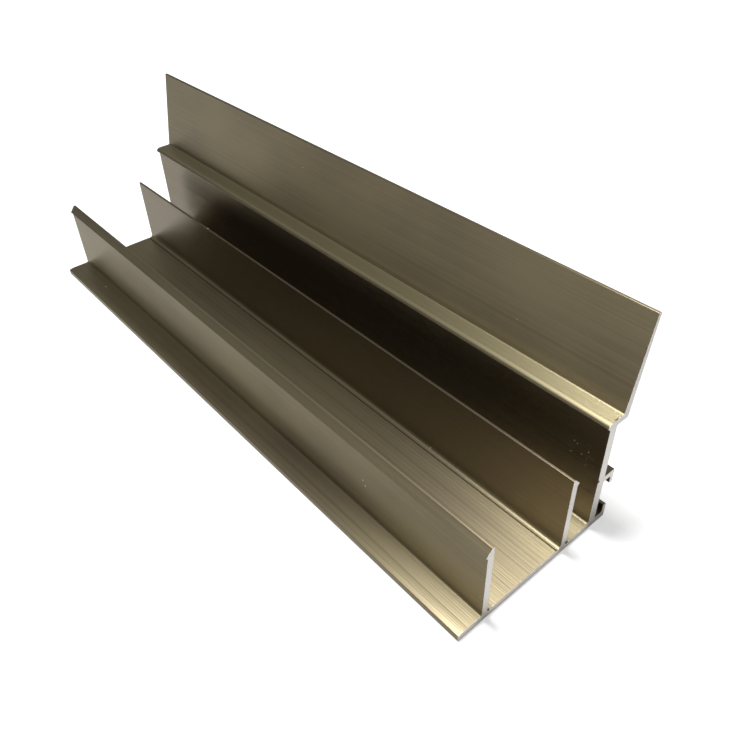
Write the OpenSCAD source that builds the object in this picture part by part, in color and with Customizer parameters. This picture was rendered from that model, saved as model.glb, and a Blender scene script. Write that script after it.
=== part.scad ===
// Anodised aluminium extrusion: a saw-cut length of one constant section.
// From front to rear the section has a toe, two snap fins whose barbs face away from each other,
// and a tall web that carries a ledge, a leaning flange and, on its back, a hooked slot.

/* [Stock] */
// Length of the cut piece
length = 178; // [60:1:600]

/* [Base] */
// Thickness of the base plate
base_t = 1.8; // [1.4:0.1:2.4]
// Reach of the toe in front of the front fin
toe_w = 6.6; // [4:0.1:15]
// Run of the toe's slightly lowered front edge
toe_run = 1.2; // [1:0.1:2]
// Drop of the toe's top at its front edge
toe_drop = 0.25; // [0.1:0.05:0.4]

/* [Snap fins] */
// Thickness of both fins
fin_t = 1.6; // [1.3:0.1:2.2]
// Height of both fins above the base plate
fin_h = 20.4; // [12:0.1:25]
// Clear width between the two fins
fin_gap = 22.5; // [12:0.1:50]
// Overhang of each barb beyond its fin
barb_out = 0.5; // [0.3:0.05:0.9]
// Slope of the barb's lead-in, in degrees from level
barb_slope = 50; // [35:1:60]
// Height of the barb's slanted underside
barb_under = 0.5; // [0.3:0.05:1.5]
// Width of each fin's crown, between the lead-in and the plain side
crown_w = 0.6; // [0.5:0.05:1.2]

/* [Groove in the base] */
// Width of the V groove in front of the rear fin
groove_w = 0.5; // [0.3:0.05:0.8]
// Depth of the V groove
groove_d = 0.2; // [0.1:0.05:0.5]
// Distance of the groove's middle from the rear fin
groove_gap = 1.3; // [1.2:0.1:4]

/* [Web] */
// Thickness of the web
web_t = 2.2; // [1.6:0.1:2.8]
// Clear width between the rear fin and the web
gutter_w = 7.8; // [5:0.1:20]

/* [Ledge] */
// Height of the ledge's top above the base plate
ledge_h = 29.7; // [27:0.1:45]
// Thickness of the ledge
ledge_t = 1.7; // [1.5:0.1:2.4]
// Depth of the ledge from the web's face to the flange
ledge_w = 4; // [3.2:0.1:12]
// Overhang of the ledge's nose in front of the web
nose_out = 0.85; // [0.6:0.05:1.2]
// Height of the nose's front face
nose_h = 1; // [1:0.05:1.5]
// Lean of the nose's front face to the rear, in degrees
nose_lean = 22; // [18:1:30]
// Height of the slanted return under the nose
nose_under = 0.8; // [0.5:0.05:2]

/* [Flange] */
// Height of the flange above the ledge
flange_h = 22.2; // [8:0.1:40]
// Lean of the flange's front face to the rear, in degrees
flange_lean = 9.4; // [0:0.1:14]
// Thickness of the flange at the ledge
flange_root_t = 1.85; // [1.4:0.05:2.6]
// Thickness of the flange at its tip
flange_tip_t = 0.8; // [0.6:0.05:1.4]

/* [Hooked slot] */
// Clear height inside the slot
slot_h = 11.6; // [8:0.1:16]
// Clear depth of the slot behind the web
slot_d = 2.5; // [1.5:0.1:5]
// Length of each lip that closes the slot's mouth
lip_h = 2.2; // [1.2:0.1:3]
// Thickness of the lips
lip_t = 1; // [0.8:0.05:1.6]
// Thickness of the slot's upper arm
arm_t = 1.6; // [1.2:0.1:2.4]

/* [Corner radii] */
// Fillets at the feet of the fins' plain sides
channel_r = 0.8; // [0.3:0.05:0.9]
// Fillets at the feet of the fins' barbed sides and of the web
foot_r = 0.5; // [0.2:0.05:0.9]
// Fillets of the other inner corners
inner_r = 0.4; // [0.2:0.05:0.6]
// Rounding of the ledge's nose
nose_r = 1.1; // [0.4:0.05:1.25]
// Rounding of the toe's upper edge
toe_r = 0.3; // [0.1:0.05:0.5]
// Rounding where the toe's top starts to fall to its edge
toe_crown_r = 4; // [1:0.5:4.5]
// Rounding of the other outer edges
edge_r = 0.25; // [0.1:0.05:0.3]
// Rounding of each fin's crown on its plain side
crown_r = 0.2; // [0.1:0.05:0.4]
// Rounding of the barbs
barb_r = 0.1; // [0.05:0.01:0.15]

/* [Hidden] */
$fn = 64;

// Stations across the section, from the toe's front to the hooks
front_fin_x = toe_w;
rear_fin_x = front_fin_x + fin_t + fin_gap;
web_x = rear_fin_x + fin_t + gutter_w;
web_back_x = web_x + web_t;
lip_x = web_back_x + slot_d;
hook_x = lip_x + lip_t;
groove_x = rear_fin_x - groove_gap;

// Heights in the section, from the base's underside
ledge_y = base_t + ledge_h;
ledge_under_y = ledge_y - ledge_t;
tip_y = base_t + fin_h;
barb_y = tip_y - (fin_t - crown_w + barb_out) * tan(barb_slope);
slot_y = base_t + slot_h;

// The flange tapers between two slanted faces, and its rear face runs on down to the ledge's underside
flange_x = web_x + ledge_w;
flange_tip_x = flange_x + flange_h * tan(flange_lean);
flange_tip_back_x = flange_tip_x + flange_tip_t;
flange_back_run = (flange_tip_back_x - flange_x - flange_root_t) / flange_h;
heel_x = flange_x + flange_root_t - ledge_t * flange_back_run;
overall_w = max(flange_tip_back_x, hook_x);

function reversed(list) = [for (i = [len(list) - 1 : -1 : 0]) list[i]];

// One fin from its barbed side over the tip to its plain side, where side is +1 for a barb to the rear
function fin(plain_x, side) =
    let (barb_x = plain_x + side * fin_t)
    [
        [barb_x, base_t, foot_r],
        [barb_x, barb_y - barb_under, barb_r],
        [barb_x + side * barb_out, barb_y, barb_r],
        [plain_x + side * crown_w, tip_y, barb_r],
        [plain_x, tip_y, crown_r],
        [plain_x, base_t, channel_r],
    ];

underside = [
    [0, 0, edge_r],
    [hook_x, 0, edge_r],
];

hooked_slot = [
    [hook_x, base_t + lip_h, edge_r],
    [lip_x, base_t + lip_h, edge_r],
    [lip_x, base_t, inner_r],
    [web_back_x, base_t, inner_r],
    [web_back_x, slot_y, inner_r],
    [lip_x, slot_y, inner_r],
    [lip_x, slot_y - lip_h, edge_r],
    [hook_x, slot_y - lip_h, edge_r],
    [hook_x, slot_y + arm_t, edge_r],
    [web_back_x, slot_y + arm_t, inner_r],
];

flange = [
    [web_back_x, ledge_under_y, inner_r],
    [heel_x, ledge_under_y, edge_r],
    [flange_tip_back_x, ledge_y + flange_h, edge_r],
    [flange_tip_x, ledge_y + flange_h, edge_r],
    [flange_x, ledge_y, inner_r],
];

ledge_nose = [
    [web_x - nose_out + nose_h * tan(nose_lean), ledge_y, nose_r],
    [web_x - nose_out, ledge_y - nose_h, edge_r],
    [web_x, ledge_y - nose_h - nose_under, edge_r],
    [web_x, base_t, foot_r],
];

groove = [
    [groove_x + groove_w / 2, base_t, 0],
    [groove_x, base_t - groove_d, 0],
    [groove_x - groove_w / 2, base_t, 0],
];

toe = [
    [toe_run, base_t, toe_crown_r],
    [0, base_t - toe_drop, toe_r],
];

// Corners of the whole section, counter-clockwise, each with its radius: [x, y, r]
outline = concat(
    underside,
    hooked_slot,
    flange,
    ledge_nose,
    fin(rear_fin_x, 1),
    groove,
    reversed(fin(front_fin_x + fin_t, -1)),
    toe
);
corners = len(outline);
// Reach of a corner's sliver past the two sides that it joins, as a factor
sliver_reach = 1.04;

function point(i) = [outline[i % corners].x, outline[i % corners].y];
function toward(from, to) = (point(to) - point(from)) / norm(point(to) - point(from));
function is_outer(i) = cross(toward(i + corners - 1, i), toward(i, i + 1)) > 0;

// Sliver between a corner's two sides and the circle that touches both
module corner_sliver(i) {
    r = outline[i].z;
    back = toward(i, i + corners - 1);
    ahead = toward(i, i + 1);
    half_angle = acos(back * ahead) / 2;
    reach = r / tan(half_angle);
    centre = point(i) + (back + ahead) * reach / (2 * cos(half_angle) ^ 2);
    translate(centre) difference() {
        scale(sliver_reach)
            polygon([
                point(i) - centre,
                point(i) + back * reach - centre,
                [0, 0],
                point(i) + ahead * reach - centre,
            ]);
        circle(r);
    }
}

// Sharp outline with its inner corners filled and its outer corners rounded off
module section() {
    difference() {
        union() {
            polygon([for (i = [0 : corners - 1]) point(i)]);
            for (i = [0 : corners - 1]) if (outline[i].z > 0 && !is_outer(i)) corner_sliver(i);
        }
        for (i = [0 : corners - 1]) if (outline[i].z > 0 && is_outer(i)) corner_sliver(i);
    }
}

module profile() {
    color("#B3A684")
        translate([-overall_w / 2, 0, 0])
            rotate([90, 0, 0])
                linear_extrude(height = length, center = true) section();
}

profile();
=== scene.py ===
import math

import bmesh
import bpy
from mathutils import Matrix, Quaternion, Vector


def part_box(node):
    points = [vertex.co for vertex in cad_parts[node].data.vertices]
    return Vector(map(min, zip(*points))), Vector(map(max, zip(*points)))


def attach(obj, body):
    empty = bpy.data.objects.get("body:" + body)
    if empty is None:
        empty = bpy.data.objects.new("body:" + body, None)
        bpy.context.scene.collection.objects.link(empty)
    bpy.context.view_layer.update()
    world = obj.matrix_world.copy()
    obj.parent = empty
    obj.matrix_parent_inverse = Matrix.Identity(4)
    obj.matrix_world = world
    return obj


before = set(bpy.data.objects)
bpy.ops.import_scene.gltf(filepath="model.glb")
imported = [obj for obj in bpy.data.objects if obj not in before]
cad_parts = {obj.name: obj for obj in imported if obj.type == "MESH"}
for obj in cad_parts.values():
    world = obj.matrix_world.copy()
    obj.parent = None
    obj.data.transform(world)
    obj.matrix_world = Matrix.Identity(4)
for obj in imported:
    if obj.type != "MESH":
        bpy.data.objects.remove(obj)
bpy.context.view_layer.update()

MM = 0.001

# Camera, as it stood in front of the near cut end
CAMERA_AT = Vector((-84.37, -139.48, 133.86)) * MM
CAMERA_AIM = Vector((16.47, -14.36, 0.0)) * MM
CAMERA_ROLL = math.radians(-2.63)
CAMERA_LENS = 37.18
CAMERA_SENSOR = 36.0
CAMERA_NEAREST = 5.0 * MM

# Lamp above a white table
LAMP_AT = Vector((-0.04, 0.28, 1.5))
LAMP_SIZE = (0.30, 0.34)
LAMP_POWER = 20.5
FLOOR_HALF = 3.0
FLOOR_WHITE = 0.74
FLOOR_GLOW = 0.51
FLOOR_GLOW_IN_METAL = 0.10

# Sky: its level by height, its lean towards X and Y, and the plain backdrop that the eye sees instead
SKY_LEVELS = [(0.0, 0.01), (0.28, 0.04), (0.42, 0.17), (0.62, 0.34), (0.80, 0.36), (1.0, 0.30)]
SKY_LEAN = (0.4, 0.5)
BACKDROP = 0.70

# Colours of the finishes, in linear light
CHAMPAGNE = (0.282, 0.240, 0.147)
CHAMPAGNE_DEEP = (0.212, 0.174, 0.117)
# Painted light: the ledge's top is given a lighter colour than the rest of the skin
CHAMPAGNE_LEDGE_PAINTED_LIGHT = (0.338, 0.297, 0.181)
# Painted shade: a dark line along the groove in front of the rear fin
GROOVE_PAINTED_SHADE = (0.085, 0.070, 0.043)
SAWN = (0.94, 0.91, 0.865)
SAWN_DULL_AND_SHADED = (0.68, 0.64, 0.59)
DUST = (0.80, 0.76, 0.69)
# Burr colours are painted shade, near black
BURR_SHADE_LIGHT = (0.10, 0.09, 0.07)
BURR_SHADE_DARK = (0.03, 0.027, 0.021)

# Skin gloss: wide across the die lines and narrow along them, with a grain that runs almost along Y
SKIN_ROUGHNESS = 0.385
REAR_ROUGHNESS = 0.30
LEDGE_ROUGHNESS = 0.45
SKIN_METALLIC = 0.97
SKIN_STRETCH = 0.83
GRAIN = {"X": 0.02, "Y": 1.0, "Z": 0.03}
QUARTER_TURN = 0.25

# What streaks, dust and saw cuts add to the roughness, and what dust takes from the metal
STREAK_ROUGHER = 0.1
DUST_ROUGHER = 0.2
CUT_ROUGHER = 0.1
DUST_LESS_METALLIC = 0.8

# Patterns of noise: cells per metre along X, Y and Z, detail, seed
FINE_LINES = ((2600, 4, 2600), 2.0, 17.3)
STREAKS = ((1100, 2, 1100), 2.0, 3.1)
BROAD_LINES = ((380, 1.2, 380), 1.0, 8.6)
CLOUDS = ((60, 25, 60), 2.0, 40.7)
CHIPS = ((1800, 1800, 1800), 2.0, 71.0)
SMEARS = ((5200, 5200, 5200), 3.0, 5.5)
NOISE_MIDDLE = 0.5
NOISE_SPREAD = (0.35, 0.65)
CHIP_SPREAD = (0.5, 0.75)

# Tone of the skin: the share of each pattern, an offset, and how much painted shade darkens the rear faces
CLOUD_TONE = 0.5
FINE_TONE = 0.2
STREAK_TONE = 0.3
TONE_OFFSET = 0.05
REAR_PAINTED_SHADE = 0.25

# Relief: its depth, the share of each pattern, and how much calmer the flange is
RELIEF_DEPTH = 0.025 * MM
FINE_RELIEF = 1.8
STREAK_RELIEF = 2.0
BROAD_RELIEF = 1.6
SAW_RELIEF = 0.5
FLANGE_CALM = 0.55

# Places on the section: two values bound a ramp, three are the ends and the soft edge of a band
REAR_ACROSS = (4.0 * MM, 6.0 * MM)
REAR_UP = (4.0 * MM, 29.0 * MM, 1.5 * MM)
LEDGE_UP = (31.3 * MM, 31.5 * MM, 0.4 * MM)
FLANGE_FOOT = (32.5 * MM, 34.5 * MM)
GROOVE_AT = 5.11 * MM
GROOVE_SIDE = (0.15 * MM, 0.25 * MM)
GROOVE_TOP = (1.9 * MM, 2.2 * MM)

# Dust: cells per metre, a fleck's size in cells, the least draw that leaves one, and where draws are raised
FLECK_CELLS = 1300.0
FLECK_SIZE = 0.2
FLECK_EDGE = (0.02, 0.14)
FLECK_DRAW = 0.999
BEHIND_RAISES = 0.006
BEHIND_TOP = (28.0 * MM, 30.0 * MM)
CLUSTER_RAISES = 0.45
CLUSTER_ACROSS = (13.0 * MM, 15.5 * MM)
CLUSTER_ALONG = (-88.5 * MM, -82.0 * MM, 4.0 * MM)
CLUSTER_UP = (19.0 * MM, 22.0 * MM, 4.0 * MM)

# Saw: the blade's axis over the section, which bends the marks on both cut ends, and marks per metre
SAW_AXIS = (0.045, 0.0, 0.17)
SAW_MARKS = 2200
SAW_DETAIL = 2.0

# Cut ends: how far the skin stays back, how far its chips go, and what sets the bare metal's level: painted
# shade that darkens it towards the foot, and its saw marks
SKIN_BACK = 0.03 * MM
CHIP_DEPTH = 0.1 * MM
SAWN_SHADE_FOOT = (0.0, 10.0 * MM)
SAWN_SHADE_BY_HEIGHT = 0.8
SAWN_BY_MARKS = 0.4
SAWN_OFFSET = 0.1

# Burrs along the near cut end, in mm: place across, inward from the cut and up, length, turn in degrees
BURRS = [
    (-15.95, 0.0, 2.10, 0.55, 60),
    (8.15, 0.0, 2.05, 0.80, 20),
    (17.58, 0.35, 31.52, 1.00, 0),
    (15.85, 0.0, 15.10, 0.50, 80),
]
BURR_WIDTH = 0.34 * MM
BURR_THICKNESS = 0.06 * MM
BURR_FLATNESS = 0.4
BURR_TIP = 0.3
BURR_STEPS = 10
BURR_ROUGHNESS = 0.35
SMEAR_ROUGHER = 0.3

# Direction that sorts the burrs' corners and faces, so that each run gives them in the same order
BURR_ORDER = Vector((1.0, 0.61, 0.37))


class Wire:
    """A shader socket that takes part in arithmetic."""

    def __init__(self, tree, socket=None):
        self.tree = tree
        self.socket = socket

    def node(self, kind, settings=None, sockets=None, output=0):
        """Adds any node: its settings first, then the values or links of its sockets."""
        made = self.tree.nodes.new(kind)
        for name, value in (settings or {}).items():
            if name == "stops":
                set_stops(made.color_ramp, value)
            else:
                setattr(made, name, value)
        for name, value in (sockets or {}).items():
            if isinstance(value, Wire):
                self.tree.links.new(value.socket, made.inputs[name])
            else:
                made.inputs[name].default_value = value
        return Wire(self.tree, made.outputs[output] if made.outputs else None)

    def math(self, operation, *others):
        """An operation with this value first."""
        return self.node("ShaderNodeMath", {"operation": operation}, dict(enumerate((self, *others))))

    def swapped(self, operation, other):
        """An operation with this value second."""
        return self.node("ShaderNodeMath", {"operation": operation}, {0: other, 1: self})

    def __add__(self, other):
        return self.math("ADD", other)

    __radd__ = __add__

    def __mul__(self, other):
        return self.math("MULTIPLY", other)

    __rmul__ = __mul__

    def __sub__(self, other):
        return self.math("SUBTRACT", other)

    def __rsub__(self, other):
        return self.swapped("SUBTRACT", other)

    def __abs__(self):
        return self.math("ABSOLUTE")

    def __gt__(self, other):
        return self.math("GREATER_THAN", other)

    def ramp(self, low, high):
        """0 at low, 1 at high, smooth between."""
        return self.node(
            "ShaderNodeMapRange",
            {"interpolation_type": "SMOOTHSTEP"},
            {"Value": self, "From Min": low, "From Max": high},
        )

    def within(self, low, high, soft):
        """1 from low to high and 0 outside, with soft edges."""
        return self.ramp(low - soft, low) * (1 - self.ramp(high, high + soft))

    def tint(self, at_zero, at_one):
        """A colour between two, by this value."""
        return self.node(
            "ShaderNodeMix", {"data_type": "RGBA"}, {"Factor": self, 6: at_zero, 7: at_one}, output=2
        )


def set_stops(ramp, stops):
    while len(ramp.elements) < len(stops):
        ramp.elements.new(0.5)
    for element, (place, colour) in zip(ramp.elements, stops):
        element.position = place
        element.color = colour


def rgba(colour):
    return (*colour, 1.0)


def grey(level):
    return (level, level, level, 1.0)


def new_material(name):
    material = bpy.data.materials.new(name)
    material.use_nodes = True
    material.node_tree.nodes.clear()
    return material, Wire(material.node_tree)


def surface_output(start, shader):
    start.node("ShaderNodeOutputMaterial", sockets={"Surface": shader})


def axis_of(vector, name):
    return vector.node("ShaderNodeSeparateXYZ", sockets={"Vector": vector}, output=name)


def stretched_noise(place, cells, detail, seed):
    """Noise with its own number of cells per metre along X, Y and Z."""
    stretched = place.node(
        "ShaderNodeVectorMath", {"operation": "MULTIPLY_ADD"}, {0: place, 1: cells, 2: (seed,) * 3}
    )
    return place.node("ShaderNodeTexNoise", sockets={"Vector": stretched, "Scale": 1.0, "Detail": detail})


# Marks that the blade leaves on a cut end, as arcs about its axis
def saw_marks(place):
    flat = place.node("ShaderNodeVectorMath", {"operation": "MULTIPLY"}, {0: place, 1: (1, 0, 1)})
    reach = place.node(
        "ShaderNodeVectorMath", {"operation": "DISTANCE"}, {0: flat, 1: SAW_AXIS}, output="Value"
    )
    return place.node(
        "ShaderNodeTexNoise",
        {"noise_dimensions": "1D"},
        {"W": reach * SAW_MARKS, "Scale": 1.0, "Detail": SAW_DETAIL},
    )


# Sparse flecks of dust on the skin, more on the rear faces and most in a cluster on the web's near end
def dust_flecks(place):
    across, along, height = (axis_of(place, name) for name in "XYZ")
    cells = {"Vector": place, "Scale": FLECK_CELLS}
    near = place.node("ShaderNodeTexVoronoi", sockets=cells, output="Distance")
    draw = place.node("ShaderNodeTexVoronoi", sockets=cells, output="Color")
    chance, size = axis_of(draw, "X"), axis_of(draw, "Y")
    cluster = along.within(*CLUSTER_ALONG) * height.within(*CLUSTER_UP) * across.ramp(*CLUSTER_ACROSS)
    behind = across.ramp(*REAR_ACROSS) * (1 - height.ramp(*BEHIND_TOP))
    kept = chance + cluster * CLUSTER_RAISES + behind * BEHIND_RAISES > FLECK_DRAW
    return (1 - (near - size * FLECK_SIZE).ramp(*FLECK_EDGE)) * kept


# Anodised skin with die lines along its length, and bare metal on the two saw cuts
def anodised_finish(half_length):
    material, start = new_material("champagne_anodised")
    place = start.node("ShaderNodeTexCoord", output="Object")
    across, along, height = (axis_of(place, name) for name in "XYZ")

    fine = stretched_noise(place, *FINE_LINES)
    streaks = stretched_noise(place, *STREAKS)
    broad = stretched_noise(place, *BROAD_LINES)
    clouds = stretched_noise(place, *CLOUDS)
    chips = stretched_noise(place, *CHIPS).ramp(*CHIP_SPREAD)
    marks = saw_marks(place)

    rear = across.ramp(*REAR_ACROSS) * height.within(*REAR_UP)
    on_ledge = height.within(*LEDGE_UP)
    on_flange = height.ramp(*FLANGE_FOOT)
    off_groove = abs(across - GROOVE_AT).ramp(*GROOVE_SIDE)
    groove_shade_mask = (1 - off_groove) * (1 - height.ramp(*GROOVE_TOP))
    dust = dust_flecks(place) * (1 - on_ledge)
    cut = abs(along) > half_length - (chips * CHIP_DEPTH + SKIN_BACK)

    # Tone of the skin, lowered on the rear fin and web by painted shade
    tone = clouds * CLOUD_TONE + fine * FINE_TONE + streaks * STREAK_TONE + TONE_OFFSET - rear * REAR_PAINTED_SHADE
    skin = tone.ramp(*NOISE_SPREAD).tint(rgba(CHAMPAGNE_DEEP), rgba(CHAMPAGNE))
    # Painted light: a lighter colour on the ledge's top
    skin = on_ledge.tint(skin, rgba(CHAMPAGNE_LEDGE_PAINTED_LIGHT))
    # Painted shade: a dark line along the groove in front of the rear fin
    skin = groove_shade_mask.tint(skin, rgba(GROOVE_PAINTED_SHADE))
    skin = dust.tint(skin, rgba(DUST))
    # Bare metal of the cuts: painted shade darkens it towards the foot, and the saw marks vary it
    bright = height.ramp(*SAWN_SHADE_FOOT) * SAWN_SHADE_BY_HEIGHT + marks * SAWN_BY_MARKS - SAWN_OFFSET
    sawn = bright.tint(rgba(SAWN_DULL_AND_SHADED), rgba(SAWN))

    lines = fine * FINE_RELIEF + streaks * STREAK_RELIEF + broad * BROAD_RELIEF
    skin_relief = lines * (1 - on_flange * FLANGE_CALM)
    bump = start.node(
        "ShaderNodeBump",
        sockets={
            "Strength": 1.0,
            "Distance": RELIEF_DEPTH,
            "Height": (1 - cut) * skin_relief + cut * marks * SAW_RELIEF,
        },
    )
    by_place = rear * (REAR_ROUGHNESS - SKIN_ROUGHNESS) + on_ledge * (LEDGE_ROUGHNESS - SKIN_ROUGHNESS)
    by_wear = (streaks - NOISE_MIDDLE) * STREAK_ROUGHER + dust * DUST_ROUGHER + cut * CUT_ROUGHER
    shader = start.node(
        "ShaderNodeBsdfPrincipled",
        sockets={
            "Base Color": cut.tint(skin, sawn),
            "Metallic": SKIN_METALLIC - dust * DUST_LESS_METALLIC,
            "Roughness": SKIN_ROUGHNESS + by_place + by_wear,
            "Anisotropic": SKIN_STRETCH,
            "Anisotropic Rotation": QUARTER_TURN,
            "Tangent": start.node("ShaderNodeCombineXYZ", sockets=GRAIN),
            "Normal": bump,
        },
    )
    surface_output(start, shader)
    return material


# Metal of the burrs, painted near black as the shade at the cut's corners, with a smeared pattern
def burr_shade_finish():
    material, start = new_material("burr_painted_shade")
    place = start.node("ShaderNodeTexCoord", output="Object")
    smear = stretched_noise(place, *SMEARS)
    shader = start.node(
        "ShaderNodeBsdfPrincipled",
        sockets={
            "Base Color": smear.ramp(*NOISE_SPREAD).tint(rgba(BURR_SHADE_DARK), rgba(BURR_SHADE_LIGHT)),
            "Metallic": 1.0,
            "Roughness": smear * SMEAR_ROUGHER + BURR_ROUGHNESS,
        },
    )
    surface_output(start, shader)
    return material


# White table that keeps its shadows, bright to the eye and fainter in the metal
def table_finish():
    material, start = new_material("white_table")
    eye = start.node("ShaderNodeLightPath", output="Is Camera Ray")
    mirror = start.node("ShaderNodeLightPath", output="Is Glossy Ray")
    glass = start.node("ShaderNodeLightPath", output="Is Transmission Ray")
    seen = (eye * FLOOR_GLOW).math("MAXIMUM", mirror.math("MAXIMUM", glass) * FLOOR_GLOW_IN_METAL)
    paint = start.node("ShaderNodeBsdfDiffuse", sockets={"Color": grey(FLOOR_WHITE)})
    glow = start.node("ShaderNodeEmission", sockets={"Color": grey(1.0), "Strength": seen})
    shader = start.node("ShaderNodeAddShader", sockets={0: paint, 1: glow})
    surface_output(start, shader)
    return material


def new_object(name, shape, material):
    mesh = bpy.data.meshes.new(name)
    shape.to_mesh(mesh)
    shape.free()
    mesh.materials.append(material)
    made = bpy.data.objects.new(name, mesh)
    bpy.context.scene.collection.objects.link(made)
    return made


def add_curl(shape, place, length, turn):
    """A flat half-round curl that narrows to its tip."""
    first_vert, first_face = len(shape.verts), len(shape.faces)
    root = [shape.verts.new((-length / 2, 0, side * BURR_WIDTH / 2)) for side in (-1, 1)]
    rim = shape.edges.new(root)
    spun = bmesh.ops.spin(
        shape, geom=[*root, rim], cent=(0, 0, 0), axis=(0, 0, 1), angle=math.pi, steps=BURR_STEPS
    )
    tip = [part for part in spun["geom_last"] if isinstance(part, bmesh.types.BMVert)]
    bmesh.ops.scale(shape, vec=(1, 1, BURR_TIP), verts=tip)
    shape.verts.ensure_lookup_table()
    shape.faces.ensure_lookup_table()
    curl = shape.verts[first_vert:]
    bmesh.ops.scale(shape, vec=(1, BURR_FLATNESS, 1), verts=curl)
    bmesh.ops.rotate(shape, matrix=Matrix.Rotation(turn, 3, "Y"), verts=curl)
    bmesh.ops.translate(shape, vec=place, verts=curl)
    bmesh.ops.solidify(shape, geom=shape.faces[first_face:], thickness=BURR_THICKNESS)


# Thin curls that the saw left along the near cut end
def make_burrs(cut_y):
    shape = bmesh.new()
    for across, inward, up, length, turn in BURRS:
        place = Vector((across * MM, cut_y + inward * MM, up * MM))
        add_curl(shape, place, length * MM, math.radians(turn))
    bmesh.ops.recalc_face_normals(shape, faces=shape.faces)
    shape.verts.sort(key=lambda vert: vert.co.dot(BURR_ORDER))
    shape.faces.sort(key=lambda face: face.calc_center_median().dot(BURR_ORDER))
    burrs = new_object("saw_burrs", shape, burr_shade_finish())
    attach(burrs, "root")


def make_floor():
    shape = bmesh.new()
    bmesh.ops.create_grid(shape, x_segments=1, y_segments=1, size=FLOOR_HALF)
    new_object("floor", shape, table_finish())


# Sky that is dark at its horizon, as the metal reflects it, behind a plain backdrop for the eye
def make_world():
    world = bpy.data.worlds.new("studio")
    bpy.context.scene.world = world
    world.use_nodes = True
    world.node_tree.nodes.clear()
    start = Wire(world.node_tree)
    direction = start.node("ShaderNodeTexCoord", output="Generated")
    sky = start.node(
        "ShaderNodeValToRGB",
        {"stops": [(height, grey(level)) for height, level in SKY_LEVELS]},
        {"Fac": axis_of(direction, "Z")},
    )
    lean = axis_of(direction, "X") * SKY_LEAN[0] + axis_of(direction, "Y") * SKY_LEAN[1]
    eye = start.node("ShaderNodeLightPath", output="Is Camera Ray")
    strength = (lean + 1.0) * (1 - eye) + eye
    shader = start.node(
        "ShaderNodeBackground", sockets={"Color": eye.tint(sky, grey(BACKDROP)), "Strength": strength}
    )
    start.node("ShaderNodeOutputWorld", sockets={"Surface": shader})


def make_lamp():
    light = bpy.data.lights.new("overhead_lamp", "AREA")
    light.shape = "RECTANGLE"
    light.size, light.size_y = LAMP_SIZE
    light.energy = LAMP_POWER
    lamp = bpy.data.objects.new("overhead_lamp", light)
    lamp.location = LAMP_AT
    bpy.context.scene.collection.objects.link(lamp)


def make_camera():
    data = bpy.data.cameras.new("camera")
    data.sensor_width = CAMERA_SENSOR
    data.lens = CAMERA_LENS
    data.clip_start = CAMERA_NEAREST
    camera = bpy.data.objects.new("camera", data)
    camera.location = CAMERA_AT
    camera.rotation_mode = "QUATERNION"
    level = (CAMERA_AIM - CAMERA_AT).to_track_quat("-Z", "Y")
    camera.rotation_quaternion = level @ Quaternion((0, 0, 1), CAMERA_ROLL)
    bpy.context.scene.collection.objects.link(camera)
    bpy.context.scene.camera = camera


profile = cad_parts["profile"]
low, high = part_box("profile")
profile.material_slots[0].material = anodised_finish(high.y)
make_burrs(low.y)
make_floor()
make_world()
make_lamp()
make_camera()
bpy.context.scene.view_settings.view_transform = "Standard"
